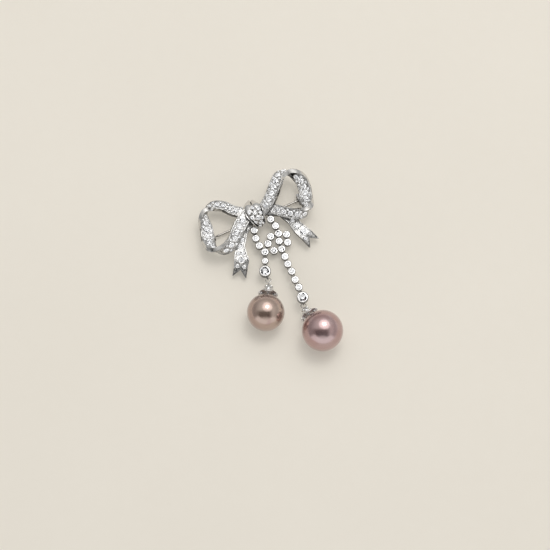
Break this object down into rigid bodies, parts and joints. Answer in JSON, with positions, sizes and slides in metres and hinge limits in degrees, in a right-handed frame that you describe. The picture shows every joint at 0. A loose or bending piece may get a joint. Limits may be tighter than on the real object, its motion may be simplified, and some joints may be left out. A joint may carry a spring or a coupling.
{
  "type": "bow brooch",
  "caption": "Ribbon bow brooch set with pave stones, two strands of collet-set stones crossing in an open knot, and a capped pearl on each.",
  "frame": {"origin": "centre of the base of the box round the whole brooch as it lies on its back", "axes": "+X to the right of the bow, +Y up the brooch from the pearls to the bow, +Z off the surface it lies on"},
  "size_m": [0.0436, 0.057, 0.0124],
  "materials": {
    "white_metal": "polished white gold or platinum, darkened in the recesses",
    "brilliants": "brilliant-cut colourless stones",
    "left_pearl": "bronze nacre with a pearly lustre",
    "right_pearl": "mauve-pink nacre with a pearly lustre"
  },
  "bodies": {
    "brooch": {"bow_frame": "white_metal", "hinge_rivet": "white_metal", "right_loop_stones": "brilliants", "left_loop_stones": "brilliants", "right_tail_stones": "brilliants", "left_tail_stones": "brilliants", "knot_stones": "brilliants", "chain_knot": "white_metal", "chain_knot_stones": "brilliants", "collet_a1": "white_metal", "collet_a2": "white_metal", "collet_a3": "white_metal", "strand_a_stones": "brilliants", "collet_b1": "white_metal", "collet_b2": "white_metal", "collet_b8": "white_metal", "collet_b9": "white_metal", "collet_b10": "white_metal", "collet_b11": "white_metal", "collet_b12": "white_metal", "strand_b_stones": "brilliants", "small_collet": "white_metal", "small_stone": "brilliants", "left_big_collet": "white_metal", "left_big_stone": "brilliants", "right_big_collet": "white_metal", "right_big_stone": "brilliants", "ring_a1": "white_metal", "ring_a2": "white_metal", "ring_a3": "white_metal", "ring_a4": "white_metal", "ring_small": "white_metal", "ring_left_big": "white_metal", "ring_left_cap": "white_metal", "ring_b1": "white_metal", "ring_b2": "white_metal", "ring_b3": "white_metal", "ring_b8": "white_metal", "ring_b9": "white_metal", "ring_b10": "white_metal", "ring_b11": "white_metal", "ring_b12": "white_metal", "ring_right_big": "white_metal", "ring_right_cap": "white_metal", "left_cap": "white_metal", "left_cap_stones": "brilliants", "left_pearl": "left_pearl", "right_cap": "white_metal", "right_cap_stones": "brilliants", "right_pearl": "right_pearl"},
    "pin": {"pin_stem": "white_metal"}
  },
  "joints": [
    {"name": "pin_hinge", "type": "hinge", "parent": "brooch", "child": "pin", "pos_m": [0.00947, 0.02007, 0.00115], "axis": [0.4175, -0.9087, 0], "range_deg": [0, 65]}
  ]
}
